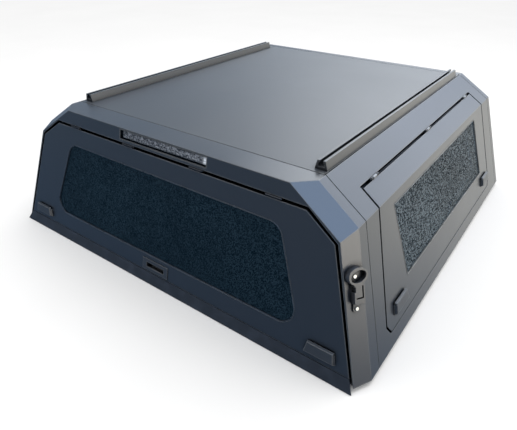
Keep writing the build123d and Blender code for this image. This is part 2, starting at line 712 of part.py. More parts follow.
def strut_rod(panel, ends, outward):
    """Piston rod with its piston and the end socket that faces the door bracket."""
    length = strut_length(ends)
    piston = Pos(0, 0, 31) * Cylinder(STRUT_TUBE_R - 1.6, 8)
    rod = Pos(0, 0, (length + 29) / 2) * Cylinder(STRUT_ROD_R, length - 29)
    socket = Pos(0, 0, length) * Rot(0, 90, 0) * Cylinder(7, 2 * STRUT_HALF)
    reach = 12.2 - STRUT_HALF
    stud = Pos(outward * (STRUT_HALF + reach / 2), 0, length) * Rot(0, 90, 0) * Cylinder(4, reach)
    return strut_plane(panel, ends) * (piston + rod + socket + stud)


def frame_bracket(panel, ends, outward, reach):
    """Angle bracket under the doorway lip that carries a strut's lower pin."""
    foot = panel.to_local_coords(ends[0])
    arm_start = STRUT_HALF + 5
    along = sorted((outward * arm_start, outward * reach))
    arm = sorted((outward * arm_start, outward * (arm_start + 3)))
    base = block(along, (-20, 20), (-LIP_DEPTH - 3, -LIP_DEPTH))
    plate = block(arm, (-11, 11), (-STRUT_FOOT_DEPTH - 11, -LIP_DEPTH))
    length = arm_start + STRUT_HALF
    pin = Rot(0, 90, 0) * Cylinder(STRUT_PIN_R, length)
    pin = Pos(outward * (arm_start - STRUT_HALF) / 2, 0, -STRUT_FOOT_DEPTH) * pin
    place = Plane(panel.from_local_coords((foot.X, foot.Y, 0)), x_dir=panel.x_dir, z_dir=panel.z_dir)
    return place * (base + plate + pin)


def door_bracket(panel, ends, outward, reach):
    """Angle bracket on the door's inner ring beside a strut's upper end."""
    head = panel.to_local_coords(ends[1])
    along = sorted((outward * 13, outward * reach))
    base = block(along, (-20, 20), (-DOOR_DEPTH - 2.5, -DOOR_DEPTH))
    plate = block(sorted((outward * 13, outward * 16)), (-11, 11), (head.Z - 11, -DOOR_DEPTH))
    place = Plane(panel.from_local_coords((head.X, head.Y, 0)), x_dir=panel.x_dir, z_dir=panel.z_dir)
    return place * (base + plate)


# ---- Latches: local x along the door edge, y into the door, z outward --------------------
def latch_block():
    """Latch case on the door's inner ring, with a notch that closes over the striker pin."""
    case = block((-22, 22), (24, LATCH_REACH), (-34, -DOOR_DEPTH))
    return case - block((-23, 23), (STRIKER_PIN_INSET - 6, STRIKER_PIN_INSET + 6), (-35, -STRIKER_PIN_DEPTH + 6))


def striker():
    """Foot under the doorway lip, two ears and the pin that the latch holds."""
    foot = block((-29, 29), (-4, 18), (-LIP_DEPTH - 3, -LIP_DEPTH))
    pin = Pos(0, STRIKER_PIN_INSET, -STRIKER_PIN_DEPTH) * Rot(0, 90, 0) * Cylinder(3.5, 54)
    body = foot + pin
    for side in (-1, 1):
        ear_x = sorted((side * 25, side * 28))
        body = body + block(ear_x, (0, 41), (-LIP_DEPTH - 4, -LIP_DEPTH))
        body = body + block(ear_x, (21, 41), (-LIP_DEPTH - 4, -22))
    return body


def side_latch_planes():
    origin = SIDE.from_local_coords((0, SIDE_DOOR_BOTTOM * SIDE_STRETCH, 0))
    edge = Plane(origin, x_dir=SIDE.x_dir, z_dir=SIDE.z_dir)
    return [edge * Pos(y, 0, 0) for y in SIDE_LATCH_Y]


def rear_latch_plane():
    """Plane on the rear door's right edge; local y points into the door."""
    spread = (REAR_DOOR_BOTTOM_HALF - REAR_DOOR_SHOULDER_HALF) / (REAR_DOOR_SHOULDER - REAR_DOOR_BOTTOM)
    half = REAR_DOOR_BOTTOM_HALF - spread * (REAR_LATCH_Z - REAR_DOOR_BOTTOM)
    edge = REAR.x_dir * (-spread) + REAR.y_dir * REAR_STRETCH
    origin = REAR.from_local_coords((half, REAR_LATCH_Z * REAR_STRETCH, 0))
    return Plane(origin, x_dir=edge, z_dir=REAR.z_dir)


def rear_latch_parts(piece):
    right = rear_latch_plane() * piece
    return [right, mirrored(right)]


def side_latch_parts(piece):
    return [place * piece for place in side_latch_planes()]


# ---- Paddle handles: local x along the panel, y up the panel, z outward -----------------
def handle_outline(grow):
    outline = Polygon(
        (-HANDLE_BOTTOM_HALF, 0), (HANDLE_BOTTOM_HALF, 0),
        (HANDLE_TOP_HALF, HANDLE_HEIGHT), (-HANDLE_TOP_HALF, HANDLE_HEIGHT), align=None)
    return offset(outline, grow, kind=Kind.INTERSECTION)


def paddle():
    """Hollow lift paddle that turns on a pin along its top edge."""
    body = extrude(Pos(0, 0, 1) * handle_outline(0), amount=HANDLE_THICKNESS - 1, taper=HANDLE_TAPER)
    hollow = handle_outline(-HANDLE_WALL)
    body = body - extrude(hollow, amount=HANDLE_THICKNESS - HANDLE_WALL, taper=HANDLE_TAPER)
    body = body - block((-60, 60), (PIVOT_Y, HANDLE_HEIGHT + 5), (-1, 4))
    hole = Pos(0, PIVOT_Y, PIVOT_Z) * Rot(0, 90, 0) * Cylinder(2 + RUNNING_GAP, 120)
    return body - hole


def handle_base():
    """Pivot block and pin on the door skin, hidden inside the paddle."""
    pad = block((-28, 28), (9, PIVOT_Y + 1), (0, 2))
    web = block((-15, 15), (PIVOT_Y - 3, PIVOT_Y + 1), (0, PIVOT_Z))
    ear = Pos(0, PIVOT_Y, PIVOT_Z) * Rot(0, 90, 0) * Cylinder(3, 30)
    pin = Pos(0, PIVOT_Y, PIVOT_Z) * Rot(0, 90, 0) * Cylinder(2, 84)
    return pad + web + ear + pin


def rear_handle_plane(side):
    local = (side * REAR_HANDLE_X, REAR_HANDLE_Z * REAR_STRETCH, 0)
    return Plane(REAR.from_local_coords(local), x_dir=REAR.x_dir, z_dir=REAR.z_dir)


def side_handle_plane(y):
    local = (y, SIDE_HANDLE_Z * SIDE_STRETCH, 0)
    return Plane(SIDE.from_local_coords(local), x_dir=SIDE.x_dir, z_dir=SIDE.z_dir)


# ---- Rear door -------------------------------------------------------------------------
def pull_block(half, low, high, near, far):
    middle = PULL_Z * REAR_STRETCH + (low + high) / 2
    return cut_from(REAR, Pos(0, middle) * Rectangle(2 * half, high - low), near, far)


def rear_door_panel():
    """Pan-shaped door skin with its folded edge and inner ring."""
    body = rear_door_block(0, 0, DOOR_DEPTH)
    body = body - rear_door_block(-SHEET, SHEET, DOOR_DEPTH - SHEET)
    body = body - rear_door_block(-DOOR_RING, SHEET, DOOR_DEPTH + 1)
    body = body - pane(REAR, rear_window, 0, -1, 5)
    return body - pull_block(44, 11, 32, -1, 3)


def rear_door_pull():
    """Finger-pull plate with a recessed cup behind its slot."""
    plate = pull_block(PULL_HALF, 0, PULL_HEIGHT, -2, 0)
    cup = pull_block(43.5, 11.5, 31.5, 0, 14)
    slot = pull_block(42, 13, 30, -3, 12.5)
    return plate + cup - slot


def rear_door_lip_seal():
    """Rubber deflector along the door's lower edge, flaring over the tailgate."""
    top = REAR_DOOR_BOTTOM * REAR_STRETCH
    section = Polygon((0, top), (0, top - 4), (-14, top - 4), (-14, top - 0.2), align=None)
    flap = Polygon((0, top), (2.5, top), (12, -16), (9, -17), (0, top - 6), align=None)
    profile = section + flap
    start = Plane(REAR.origin, x_dir=REAR.z_dir, z_dir=REAR.z_dir.cross(REAR.y_dir))
    strip = extrude(start * profile, amount=REAR_DOOR_BOTTOM_HALF + 20, both=True)
    wedge = Polygon(
        (-REAR_DOOR_BOTTOM_HALF, top), (REAR_DOOR_BOTTOM_HALF, top),
        (REAR_DOOR_BOTTOM_HALF + 20, -20), (-REAR_DOOR_BOTTOM_HALF - 20, -20), align=None)
    return strip & cut_from(REAR, wedge, -20, 20)


def rear_latches():
    """Latch cases on the ring and the handle pivots on the skin, one pair per corner."""
    bases = [rear_handle_plane(side) * handle_base() for side in (-1, 1)]
    return Compound(children=rear_latch_parts(latch_block()) + bases)


# ---- Right side door (the left door is its mirror image) --------------------------------
def right_door_panel():
    """Folded door skin with its edge return and inner ring."""
    region = side_door_region(0)
    skin = SHELL & region
    edge = (OUTER - hull(DOOR_DEPTH)) & (region - side_door_region(-SHEET))
    ring_band = hull(DOOR_DEPTH - SHEET) - hull(DOOR_DEPTH)
    ring = ring_band & (region - side_door_region(-DOOR_RING))
    return skin + edge + ring - pane(SIDE, side_window, 0, -1, 5)


def right_latches():
    bases = [side_handle_plane(y) * handle_base() for y in SIDE_HANDLE_Y]
    return Compound(children=side_latch_parts(latch_block()) + bases)


def right_catch_plate():
    """Small bright bracket on the door's inner face below the glass."""
    low = SIDE_DOOR_BOTTOM * SIDE_STRETCH
    foot = block((-236, -194), (low + 22, low + 44), (-DOOR_DEPTH - 2.5, -DOOR_DEPTH))
    blade = block((-236, -194), (low + 41.5, 192), (-DOOR_DEPTH - 2.5, -DOOR_DEPTH))
    return SIDE * (foot + blade)


def right_grab_bar():
    """Bent bar inside the glass, from the door's lower ring up to its upper ring."""
    depth = DOOR_DEPTH + 7.5
    corners = [(142, 70, -depth), (142, 158, -depth), (490, 152, -depth), (432, 395, -depth)]
    spine = FilletPolyline(*[SIDE.from_local_coords(point) for point in corners], radius=24)
    end = Plane(spine @ 0, z_dir=spine % 0)
    return sweep(end * Circle(6), path=spine)


# ---- Build and write every piece --------------------------------------------------------
def side_pieces():
    """Right-hand pieces that have a mirror-image twin on the left."""
    pieces = {
        "side_frame": right_side_frame(),
        "roof_rail": right_roof_rail(),
        "opening_seal": right_opening_seal(),
        "door_panel": right_door_panel(),
        "door_glass": glass_pane(SIDE, side_window),
        "glass_seal": glass_seal(SIDE, side_window),
        "door_hinge_leaves": Compound(children=hinge_set(side_hinge_planes(), door_leaf())),
        "door_latches": right_latches(),
        "catch_plate": right_catch_plate(),
        "grab_bar": right_grab_bar(),
        "rear_handle": side_handle_plane(SIDE_HANDLE_Y[0]) * paddle(),
        "front_handle": side_handle_plane(SIDE_HANDLE_Y[1]) * paddle(),
    }
    front = side_strut_ends(SIDE_STRUT_FRONT_Y)
    rear = side_strut_ends(SIDE_STRUT_REAR_Y)
    pieces["strut_tubes"] = Compound(children=[strut_tube(SIDE, front), strut_tube(SIDE, rear)])
    pieces["strut_rods"] = Compound(children=[strut_rod(SIDE, front, 1), strut_rod(SIDE, rear, -1)])
    brackets = [door_bracket(SIDE, front, 1, 33), door_bracket(SIDE, rear, -1, 26)]
    pieces["door_strut_brackets"] = Compound(children=brackets)
    return pieces


def rear_strut_pieces():
    ends = rear_strut_ends(REAR_STRUT_X)
    return {
        "rear_strut_tubes": Compound(children=both_sides([strut_tube(REAR, ends)])),
        "rear_strut_rods": Compound(children=both_sides([strut_rod(REAR, ends, 1)])),
        "rear_door_strut_brackets": Compound(children=both_sides([door_bracket(REAR, ends, 1, 24)])),
    }


def strut_frame_brackets():
    front = frame_bracket(SIDE, side_strut_ends(SIDE_STRUT_FRONT_Y), 1, 56)
    rear = frame_bracket(SIDE, side_strut_ends(SIDE_STRUT_REAR_Y), -1, 90)
    back = frame_bracket(REAR, rear_strut_ends(REAR_STRUT_X), 1, 113)
    return Compound(children=both_sides([front, rear, back]))


def latch_strikers():
    side = both_sides(side_latch_parts(striker()))
    return Compound(children=side + rear_latch_parts(striker()))


def all_hinge_parts(piece):
    return hinge_set(rear_hinge_planes(), piece) + both_sides(hinge_set(side_hinge_planes(), piece))


def shell_pieces():
    return {
        "rear_frame": rear_frame(),
        "front_frame": front_frame(),
        "roof_panel": roof_panel(),
        "roof_bows": roof_bows(),
        "fitting_screws": Compound(children=rail_screws() + opener_screws()),
        "frame_bolts": frame_bolts(),
        "front_window_glass": glass_pane(FRONT, front_window),
        "front_window_seal": glass_seal(FRONT, front_window),
        "brake_light_housing": brake_light_housing(),
        "brake_light_lens": brake_light_lens(),
        "brake_light_cable": brake_light_cable(),
        "bottle_opener": bottle_opener(),
        "base_gasket": base_gasket(),
        "rear_opening_seal": rear_opening_seal(),
        "hinge_frame_leaves": Compound(children=all_hinge_parts(frame_leaf())),
        "hinge_pins": Compound(children=all_hinge_parts(hinge_pin())),
        "latch_strikers": latch_strikers(),
        "strut_frame_brackets": strut_frame_brackets(),
    }


def rear_door_pieces():
    return {
        "rear_door_panel": rear_door_panel(),
        "rear_door_glass": glass_pane(REAR, rear_window),
        "rear_glass_seal": glass_seal(REAR, rear_window),
        "rear_door_hinge_leaves": Compound(children=hinge_set(rear_hinge_planes(), door_leaf())),
        "rear_door_lip_seal": rear_door_lip_seal(),
        "rear_door_pull": rear_door_pull(),
        "rear_door_latches": rear_latches(),
        "rear_door_right_handle": rear_handle_plane(1) * paddle(),
        "rear_door_left_handle": rear_handle_plane(-1) * paddle(),
    }


def write_all():
    os.makedirs("parts", exist_ok=True)
    pieces = {**shell_pieces(), **rear_door_pieces(), **rear_strut_pieces()}
    for name, shape in side_pieces().items():
        pieces["right_" + name] = shape
        pieces["left_" + name] = mirrored(shape)
    for name, shape in pieces.items():
        export_step(shape, f"parts/{name}.step")


write_all()
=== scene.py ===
import json
import math

import bmesh
import bpy
from mathutils import Euler, Matrix, Vector


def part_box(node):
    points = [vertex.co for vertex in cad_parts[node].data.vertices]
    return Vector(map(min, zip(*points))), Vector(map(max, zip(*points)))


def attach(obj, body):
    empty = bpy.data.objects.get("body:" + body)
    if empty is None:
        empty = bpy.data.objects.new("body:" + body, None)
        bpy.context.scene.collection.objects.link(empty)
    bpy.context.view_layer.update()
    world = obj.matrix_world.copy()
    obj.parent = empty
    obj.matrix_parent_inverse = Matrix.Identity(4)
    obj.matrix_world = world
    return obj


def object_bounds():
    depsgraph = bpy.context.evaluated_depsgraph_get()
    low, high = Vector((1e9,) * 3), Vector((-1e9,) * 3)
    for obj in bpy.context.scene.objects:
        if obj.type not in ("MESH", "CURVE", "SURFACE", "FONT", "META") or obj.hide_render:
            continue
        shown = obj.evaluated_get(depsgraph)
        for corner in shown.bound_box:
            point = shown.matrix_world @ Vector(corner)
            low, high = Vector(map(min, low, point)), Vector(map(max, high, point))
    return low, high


# A pickup bed canopy: materials for the CAD nodes, a few detail pieces and a plain studio.
# Lengths are in metres and angles in degrees. A noise is written as its scale per metre,
# then its detail and its roughness where they are not the usual ones.

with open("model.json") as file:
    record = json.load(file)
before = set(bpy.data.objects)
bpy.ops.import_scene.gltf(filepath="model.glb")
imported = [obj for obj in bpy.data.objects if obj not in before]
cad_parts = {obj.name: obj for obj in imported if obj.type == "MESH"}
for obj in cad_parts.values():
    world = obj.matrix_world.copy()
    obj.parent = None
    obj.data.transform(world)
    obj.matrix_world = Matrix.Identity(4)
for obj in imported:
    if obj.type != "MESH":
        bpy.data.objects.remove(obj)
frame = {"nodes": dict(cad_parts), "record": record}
CAD_LOW, CAD_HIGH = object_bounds()
NODES = frame["nodes"]

BLACK = (0, 0, 0, 1)
WHITE = (1, 1, 1, 1)


# ---- Node-tree helpers -------------------------------------------------------------------
def rgb(colour, factor=1.0):
    """A colour socket's value from three numbers, dimmed or lifted by factor."""
    return (*[channel * factor for channel in colour], 1.0)


class Tree:
    """A short way to write node trees: add(kind, settings, inputs) returns the new node."""

    def __init__(self, tree):
        self.tree = tree
        tree.nodes.clear()

    def add(self, kind, settings=None, **inputs):
        """Inputs go by name, with _ for a space, or by place: i0 is the first socket."""
        node = self.tree.nodes.new("ShaderNode" + kind)
        for key, value in (settings or {}).items():
            setattr(node, key, value)
        for key, value in inputs.items():
            by_place = key[0] == "i" and key[1:].isdigit()
            socket = node.inputs[int(key[1:]) if by_place else key.replace("_", " ")]
            if isinstance(value, bpy.types.NodeSocket):
                self.tree.links.new(value, socket)
            else:
                socket.default_value = value
        return node

    def place(self):
        return self.add("TexCoord").outputs["Object"]

    def math(self, operation, first, second):
        return self.add("Math", {"operation": operation}, i0=first, i1=second).outputs[0]

    def noise(self, vector, scale, detail=2.0, roughness=0.5):
        node = self.add("TexNoise", Vector=vector, Scale=scale, Detail=detail, Roughness=roughness)
        return node.outputs["Fac"]

    def ramp(self, value, low, high, start=0.0, end=1.0):
        """Maps value from low..high to start..end, held at both ends."""
        ends = {"From_Min": low, "From_Max": high, "To_Min": start, "To_Max": end}
        return self.add("MapRange", {"clamp": True}, Value=value, **ends).outputs["Result"]

    def mix(self, share, first, second):
        """Mix of two colours, which the Mix node takes in its sockets 6 and 7."""
        node = self.add("Mix", {"data_type": "RGBA"}, i0=share, i6=first, i7=second)
        return node.outputs[2]

    def mix_shader(self, share, first, second):
        return self.add("MixShader", i0=share, i1=first, i2=second).outputs[0]

    def transparent(self, colour):
        return self.add("BsdfTransparent", Color=colour).outputs[0]

    def bump(self, height, strength, distance, **normal):
        node = self.add("Bump", Height=height, Strength=strength, Distance=distance, **normal)
        return node.outputs["Normal"]

    def surface(self, shader):
        self.add("OutputMaterial", Surface=shader)


def new_material(name):
    material = bpy.data.materials.new(name)
    material.use_nodes = True
    return material, Tree(material.node_tree)


EDGE_SAMPLES = 4
SHARP_EDGE_BAND = (0.996, 0.972)
MIDDLE_BAND = (0.3, 0.7)


def soft_normal(tree, radius):
    """The surface normal with edges rounded to the given radius."""
    return tree.add("Bevel", {"samples": EDGE_SAMPLES}, Radius=radius).outputs["Normal"]


def edge_mask(tree, soft):
    """1 along sharp edges, where the rounded normal leaves the flat one, and 0 on flat faces."""
    flat = tree.add("NewGeometry").outputs["Normal"]
    agreement = tree.add("VectorMath", {"operation": "DOT_PRODUCT"}, i0=soft, i1=flat)
    return tree.ramp(agreement.outputs["Value"], *SHARP_EDGE_BAND)


# ---- Powder coat -------------------------------------------------------------------------
CLOUD_NOISE = (3.1, 4.0)
PEEL_NOISE, PEEL_SHARE = (520.0, 3.0), 0.7
RIPPLE_NOISE, RIPPLE_SHARE = (62.0,), 0.9
FLECK_NOISE, FLECK_BAND = (1900.0, 1.0), (0.35, 0.7)
FLECK_LIFT, FLECK_SHARE = 1.9, 0.35
COAT_BUMP, COAT_BUMP_DEPTH = 0.22, 0.0004
DUST_COLOUR, DUST_SHARE, DUST_BAND = (0.075, 0.078, 0.08), 0.35, (0.35, 0.75)
LEVEL_BAND = (0.5, 1.0)
# Lighter colour along sharp edges: partly worn paint, partly a painted highlight on the folds.
EDGE_WEAR_AND_HIGHLIGHT_COLOUR, EDGE_WEAR_AND_HIGHLIGHT_SHARE = (0.20, 0.21, 0.21), 0.5
# Painted shade in crevices: how far occlusion looks, its samples and the band that fades the paint
# to black.
CREVICE_REACH, CREVICE_SAMPLES, CREVICE_BAND = 0.02, 4, (0.35, 0.9)
COAT_SPECULAR, COAT_WEIGHT = 0.85, 0.5
COAT_GLOSS_BELOW, COAT_GLOSS_ABOVE, TOP_COAT_STEP = 0.03, 0.05, 0.1


def coat_colour(tree, place, cloud, mask, painted_shade_factor, colour):
    """The paint's colour with fine flecks, dust on level faces, lighter edges (partly worn paint,
    partly painted highlight) and painted shade darkening crevices.
    """
    fleck = tree.ramp(tree.noise(place, *FLECK_NOISE), *FLECK_BAND, 0.0, FLECK_SHARE)
    normal = tree.add("NewGeometry").outputs["Normal"]
    upward = tree.add("SeparateXYZ", Vector=normal).outputs["Z"]
    level = tree.ramp(upward, *LEVEL_BAND, 0.0, DUST_SHARE)
    dust = tree.math("MULTIPLY", level, tree.ramp(cloud, *DUST_BAND))
    base = tree.mix(fleck, rgb(colour), rgb(colour, FLECK_LIFT))
    base = tree.mix(dust, base, rgb(DUST_COLOUR))
    # Edges lightened: partly wear, partly painted highlight.
    base = tree.mix(tree.math("MULTIPLY", mask, EDGE_WEAR_AND_HIGHLIGHT_SHARE), base, rgb(EDGE_WEAR_AND_HIGHLIGHT_COLOUR))
    # Painted shade: the colour fades to black where crevice occlusion is deep.
    return tree.mix(painted_shade_factor, BLACK, base)


def paint(name, colour, gloss, edge=0.0034, grain=1.0):
    """Satin powder coat with fine orange peel and a cloudy gloss."""
    material, tree = new_material(name)
    place = tree.place()
    soft = soft_normal(tree, edge)
    cloud = tree.noise(place, *CLOUD_NOISE)
    samples = {"samples": CREVICE_SAMPLES}
    # Painted shade: ambient occlusion darkens the colour, the specular and the coat in crevices
    # and gaps between parts.
    crevice = tree.add("AmbientOcclusion", samples, Distance=CREVICE_REACH).outputs["AO"]
    painted_shade_factor = tree.ramp(crevice, *CREVICE_BAND)
    peel = tree.math("MULTIPLY", tree.noise(place, *PEEL_NOISE), PEEL_SHARE)
    ripple = tree.math("MULTIPLY", tree.noise(place, *RIPPLE_NOISE), RIPPLE_SHARE)
    height = tree.math("ADD", peel, ripple)
    low, high = gloss - COAT_GLOSS_BELOW, gloss + COAT_GLOSS_ABOVE
    shader = tree.add(
        "BsdfPrincipled",
        Base_Color=coat_colour(tree, place, cloud, edge_mask(tree, soft), painted_shade_factor, colour),
        Roughness=tree.ramp(cloud, *MIDDLE_BAND, low, high),
        Normal=tree.bump(height, COAT_BUMP * grain, COAT_BUMP_DEPTH, Normal=soft),
        Coat_Normal=soft,
        Specular_IOR_Level=tree.math("MULTIPLY", painted_shade_factor, COAT_SPECULAR),
        Coat_Weight=tree.math("MULTIPLY", painted_shade_factor, COAT_WEIGHT),
        Coat_Roughness=gloss - TOP_COAT_STEP,
    )
    tree.surface(shader.outputs[0])
    return material


# ---- Glass and lens ----------------------------------------------------------------------
GRIT_STRETCH, GRIT_DETAIL, GRIT_SHARE = (1.0, 0.6, 1.0), (2.0, 0.7), 0.85
PATCH_NOISE, PATCH_SHARE = (60.0, 3.0, 0.6), 0.15
SPECKLE_BAND = (0.45, 0.56)
DRIFT_NOISE, DRIFT_DIM, DRIFT_SHARE = (5.0,), 0.6, 0.3
TINT_DIM, PAINTED_SPECKLE_REFLECTION_DIM = 0.35, 0.15
GLASS_IOR, GLASS_ROUGHNESS = 1.5, 0.05
GLASS_WAVE_NOISE, GLASS_WAVE, GLASS_WAVE_DEPTH = (9.0, 1.0), 0.05, 0.0006


def one_sided(tree, outer):
    """Shows the outer look where a ray enters a pane and lets it leave the far side unchanged."""
    leaving = tree.add("NewGeometry").outputs["Backfacing"]
    tree.surface(tree.mix_shader(leaving, outer, tree.transparent(WHITE)))


def glass_speckle(tree, place, grit_scale):
    """Fine light and dark grains, a little uneven from patch to patch: the painted ground speckle.
    """
    stretched = tree.add("Mapping", Vector=place, Scale=GRIT_STRETCH).outputs[0]
    grit = tree.math("MULTIPLY", tree.noise(stretched, grit_scale, *GRIT_DETAIL), GRIT_SHARE)
    patch = tree.math("MULTIPLY", tree.noise(place, *PATCH_NOISE), PATCH_SHARE)
    return tree.ramp(tree.math("ADD", grit, patch), *SPECKLE_BAND)


def tinted_glass(name, tint, dark, light, shine, grit_scale):
    """Tinted pane: see-through tint, a mottled diffuse layer painted as the ground seen through
    the pane, and a smooth reflection with painted speckle as if mirroring the ground.
    """
    material, tree = new_material(name)
    place = tree.place()
    speckle = glass_speckle(tree, place, grit_scale)
    drift = tree.ramp(tree.noise(place, *DRIFT_NOISE), *MIDDLE_BAND, 0.0, DRIFT_SHARE)
    colour = tree.mix(drift, tree.mix(speckle, rgb(dark), rgb(light)), rgb(dark, DRIFT_DIM))
    painted_ground_layer = tree.add("BsdfDiffuse", Color=colour).outputs[0]
    clear = tree.transparent(tree.mix(speckle, rgb(tint, TINT_DIM), rgb(tint)))
    body = tree.add("AddShader", i0=painted_ground_layer, i1=clear).outputs[0]
    wave = tree.bump(tree.noise(place, *GLASS_WAVE_NOISE), GLASS_WAVE, GLASS_WAVE_DEPTH)
    painted_speckle_reflection = tree.mix(tree.ramp(speckle, 0.0, 1.0, PAINTED_SPECKLE_REFLECTION_DIM), BLACK, rgb(WHITE[:3], shine))
    mirror = tree.add("BsdfGlossy", Color=painted_speckle_reflection, Roughness=GLASS_ROUGHNESS, Normal=wave)
    facing = tree.add("Fresnel", IOR=GLASS_IOR).outputs[0]
    one_sided(tree, tree.mix_shader(facing, body, mirror.outputs[0]))
    return material


RIB_WAVES, RIB_SCALE = {"bands_direction": "X", "wave_profile": "SIN"}, 38.0
RIB_BUMP, RIB_DEPTH = 0.25, 0.0004
LENS_NOISE, LENS_NOISE_SHARE = (300.0,), 0.3
LENS_CLEAR, LENS_SHINE = (0.80, 0.83, 0.87), (0.5, 0.5, 0.5)
LENS_IOR, LENS_ROUGHNESS = 1.45, 0.06


def clear_lens(name):
    """Clear plastic with fine upright ribs moulded into it."""
    material, tree = new_material(name)
    place = tree.place()
    ribs = tree.add("TexWave", RIB_WAVES, Vector=place, Scale=RIB_SCALE).outputs["Fac"]
    grain = tree.math("MULTIPLY", tree.noise(place, *LENS_NOISE), LENS_NOISE_SHARE)
    normal = tree.bump(tree.math("ADD", ribs, grain), RIB_BUMP, RIB_DEPTH)
    shine = rgb(LENS_SHINE)
    mirror = tree.add("BsdfGlossy", Color=shine, Roughness=LENS_ROUGHNESS, Normal=normal)
    facing = tree.add("Fresnel", IOR=LENS_IOR, Normal=normal).outputs[0]
    clear = tree.transparent(rgb(LENS_CLEAR))
    one_sided(tree, tree.mix_shader(facing, clear, mirror.outputs[0]))
    return material


# The foil's light and dark mottle and its white end are painted highlights.
MOTTLE_NOISE, MOTTLE_BAND = (150.0, 3.0, 0.7), (0.40, 0.60)
FOIL_DARK, FOIL_LIGHT = (0.02, 0.025, 0.032), (0.42, 0.43, 0.45)
FOIL_ROUGHNESS, FOIL_METALLIC = 0.35, 0.25
PAINTED_HIGHLIGHT_X, PAINTED_HIGHLIGHT_FADE = 0.168, 0.008


def reflector_foil(name):
    """Vacuum-coated reflector cells with painted highlights: a light and dark mottle, and a white
    painted highlight at one end.
    """
    material, tree = new_material(name)
    place = tree.place()
    painted_highlight_mottle = tree.ramp(tree.noise(place, *MOTTLE_NOISE), *MOTTLE_BAND)
    sideways = tree.add("SeparateXYZ", Vector=place).outputs["X"]
    painted_highlight_spot = tree.ramp(sideways, PAINTED_HIGHLIGHT_X, PAINTED_HIGHLIGHT_X + PAINTED_HIGHLIGHT_FADE)
    foil = tree.mix(painted_highlight_mottle, rgb(FOIL_DARK), rgb(FOIL_LIGHT))
    shader = tree.add(
        "BsdfPrincipled",
        Base_Color=tree.mix(painted_highlight_spot, foil, WHITE),
        Roughness=FOIL_ROUGHNESS,
        Metallic=FOIL_METALLIC,
    )
    tree.surface(shader.outputs[0])
    return material


# ---- Rubber and metal --------------------------------------------------------------------
RUBBER_NOISE, RUBBER_BUMP, RUBBER_BUMP_DEPTH = (1300.0, 3.0), 0.35, 0.0002
RUBBER_EDGE, RUBBER_GLOSS_BELOW, RUBBER_GLOSS_ABOVE = 0.001, 0.08, 0.12
BLOOM_NOISE, BLOOM_BAND, BLOOM_LIFT, BLOOM_SHARE = (22.0, 4.0), (0.45, 0.8), 2.6, 0.6


def rubber(name, colour, gloss):
    """Moulded rubber or foam: fine grain, pale bloom in patches."""
    material, tree = new_material(name)
    place = tree.place()
    fine = tree.noise(place, *RUBBER_NOISE)
    bloom = tree.noise(place, *BLOOM_NOISE)
    pale = tree.ramp(bloom, *BLOOM_BAND, 0.0, BLOOM_SHARE)
    soft = soft_normal(tree, RUBBER_EDGE)
    low, high = gloss - RUBBER_GLOSS_BELOW, gloss + RUBBER_GLOSS_ABOVE
    shader = tree.add(
        "BsdfPrincipled",
        Base_Color=tree.mix(pale, rgb(colour), rgb(colour, BLOOM_LIFT)),
        Roughness=tree.ramp(bloom, *MIDDLE_BAND, low, high),
        Normal=tree.bump(fine, RUBBER_BUMP, RUBBER_BUMP_DEPTH, Normal=soft),
    )
    tree.surface(shader.outputs[0])
    return material


DRAWN_NOISE, DRAWN_BUMP, DRAWN_BUMP_DEPTH = (900.0, 4.0), 0.12, 0.0002
METAL_EDGE, METAL_GLOSS_BELOW, METAL_GLOSS_ABOVE = 0.0008, 0.07, 0.09
STAIN_NOISE, STAIN_BAND, STAIN_DIM, STAIN_SHARE = (75.0, 4.0), (0.5, 0.8), 0.55, 0.7


def metal(name, colour, gloss, stretch=(1.0, 1.0, 1.0)):
    """Bare or plated metal with a drawn grain and small stains."""
    material, tree = new_material(name)
    place = tree.place()
    stretched = tree.add("Mapping", Vector=place, Scale=stretch).outputs[0]
    lines = tree.noise(stretched, *DRAWN_NOISE)
    stain = tree.ramp(tree.noise(place, *STAIN_NOISE), *STAIN_BAND, 0.0, STAIN_SHARE)
    soft = soft_normal(tree, METAL_EDGE)
    low, high = gloss - METAL_GLOSS_BELOW, gloss + METAL_GLOSS_ABOVE
    shader = tree.add(
        "BsdfPrincipled",
        Metallic=1.0,
        Base_Color=tree.mix(stain, rgb(colour), rgb(colour, STAIN_DIM)),
        Roughness=tree.ramp(lines, *MIDDLE_BAND, low, high),
        Normal=tree.bump(lines, DRAWN_BUMP, DRAWN_BUMP_DEPTH, Normal=soft),
    )
    tree.surface(shader.outputs[0])
    return material


# ---- Materials ---------------------------------------------------------------------------
COAT = paint("satin_powder_coat", (0.010, 0.014, 0.021), 0.36)
COAT_ROOF = paint("satin_powder_coat_roof", (0.026, 0.028, 0.031), 0.46)
COAT_FITTING = paint("fitting_powder_coat", (0.015, 0.018, 0.023), 0.47, grain=1.6)
COAT_RAIL = paint("rail_powder_coat", (0.020, 0.022, 0.026), 0.40, edge=0.0012)
GLOSS_BLACK = paint("strut_gloss_black", (0.008, 0.008, 0.009), 0.20, grain=0.4)
CAST = paint("opener_cast_black", (0.022, 0.023, 0.026), 0.40, edge=0.0014, grain=3.0)
HOUSING = paint("light_housing_black", (0.008, 0.009, 0.011), 0.45)
